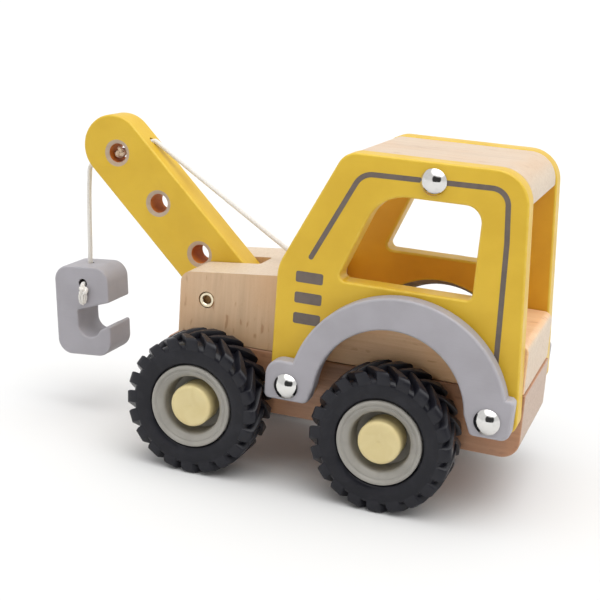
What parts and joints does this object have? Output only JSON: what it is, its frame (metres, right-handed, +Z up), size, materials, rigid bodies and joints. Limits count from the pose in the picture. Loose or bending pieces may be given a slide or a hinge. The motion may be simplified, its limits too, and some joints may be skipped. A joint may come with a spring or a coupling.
{
  "type": "toy crane truck",
  "caption": "Wooden toy crane truck with a two-sided painted cab, a tilting boom, a C-shaped hook on a cord, and rubber-tyred wheels.",
  "frame": {"origin": "on the surface that the truck stands on, under the middle of its length, from the hook to the chassis's rear end, and of its width", "axes": "+X towards the rear of the truck, +Z up, -Y the truck's left side"},
  "size_m": [0.2054, 0.097, 0.1291],
  "materials": {
    "beech": "clear-lacquered beech, satin",
    "yellow_paint": "yellow paint on wood, satin",
    "grey_paint": "pale grey paint on wood, satin",
    "chrome": "polished",
    "brass": "pale, satin",
    "steel": "plain drawn rod",
    "cotton_cord": "braided, matte",
    "grey_plastic": "moulded, satin",
    "black_rubber": "moulded with tread lugs, matte",
    "cream_plastic": "moulded, satin"
  },
  "bodies": {
    "root": {"chassis_plank": "beech", "bonnet_block": "beech", "floor_block": "beech", "roof_block": "beech", "bonnet_dowel_1": "beech", "bonnet_dowel_2": "beech", "floor_dowel_1": "beech", "floor_dowel_2": "beech", "side_panel_left": "yellow_paint", "side_panel_right": "yellow_paint", "fender_left": "grey_paint", "fender_right": "grey_paint", "fender_bolt_left_front": "chrome", "fender_bolt_left_rear": "chrome", "fender_bolt_right_front": "chrome", "fender_bolt_right_rear": "chrome", "roof_bolt_left": "chrome", "roof_bolt_right": "chrome", "boom_pivot_pin": "brass", "axle_front": "steel", "axle_rear": "steel", "hub_cap_front_left": "cream_plastic", "hub_cap_front_right": "cream_plastic", "hub_cap_rear_left": "cream_plastic", "hub_cap_rear_right": "cream_plastic", "stay_cord": "cotton_cord"},
    "boom": {"boom": "yellow_paint", "boom_cord_upper": "cotton_cord", "boom_knot": "cotton_cord", "boom_cord_lower": "cotton_cord"},
    "cord_swing": {"drop_cord_upper": "cotton_cord"},
    "cord_sway": {"drop_cord_lower": "cotton_cord"},
    "hook": {"hook": "grey_paint", "hook_cord": "cotton_cord", "hook_knot": "cotton_cord", "hook_tail": "cotton_cord"},
    "wheel_front_left": {"rim_front_left": "grey_plastic", "tyre_front_left": "black_rubber"},
    "wheel_front_right": {"rim_front_right": "grey_plastic", "tyre_front_right": "black_rubber"},
    "wheel_rear_left": {"rim_rear_left": "grey_plastic", "tyre_rear_left": "black_rubber"},
    "wheel_rear_right": {"rim_rear_right": "grey_plastic", "tyre_rear_right": "black_rubber"}
  },
  "joints": [
    {"name": "boom_tilt", "type": "hinge", "parent": "root", "child": "boom", "pos_m": [-0.02432, 0, 0.0636], "axis": [0, 1, 0], "range_deg": [0, 46], "deforming": ["stay_cord"]},
    {"name": "hook_swing", "type": "hinge", "parent": "boom", "child": "cord_swing", "pos_m": [-0.09082, 0, 0.1031], "axis": [0, 1, 0], "range_deg": [-14, 40], "deforming": ["drop_cord_upper"]},
    {"name": "hook_sway", "type": "hinge", "parent": "cord_swing", "child": "cord_sway", "pos_m": [-0.09082, 0, 0.0981], "axis": [1, 0, 0], "range_deg": [-35, 35], "deforming": ["drop_cord_lower"]},
    {"name": "hook_twist", "type": "hinge", "parent": "cord_sway", "child": "hook", "pos_m": [-0.09082, 0, 0.0642], "axis": [0, 0, 1], "range_deg": [-180, 180]},
    {"name": "wheel_front_left_spin", "type": "hinge", "parent": "root", "child": "wheel_front_left", "pos_m": [-0.01982, 0, 0.027], "axis": [0, 1, 0], "continuous": true},
    {"name": "wheel_front_right_spin", "type": "hinge", "parent": "root", "child": "wheel_front_right", "pos_m": [-0.01982, 0, 0.027], "axis": [0, 1, 0], "continuous": true},
    {"name": "wheel_rear_left_spin", "type": "hinge", "parent": "root", "child": "wheel_rear_left", "pos_m": [0.05518, 0, 0.027], "axis": [0, 1, 0], "continuous": true},
    {"name": "wheel_rear_right_spin", "type": "hinge", "parent": "root", "child": "wheel_rear_right", "pos_m": [0.05518, 0, 0.027], "axis": [0, 1, 0], "continuous": true}
  ]
}
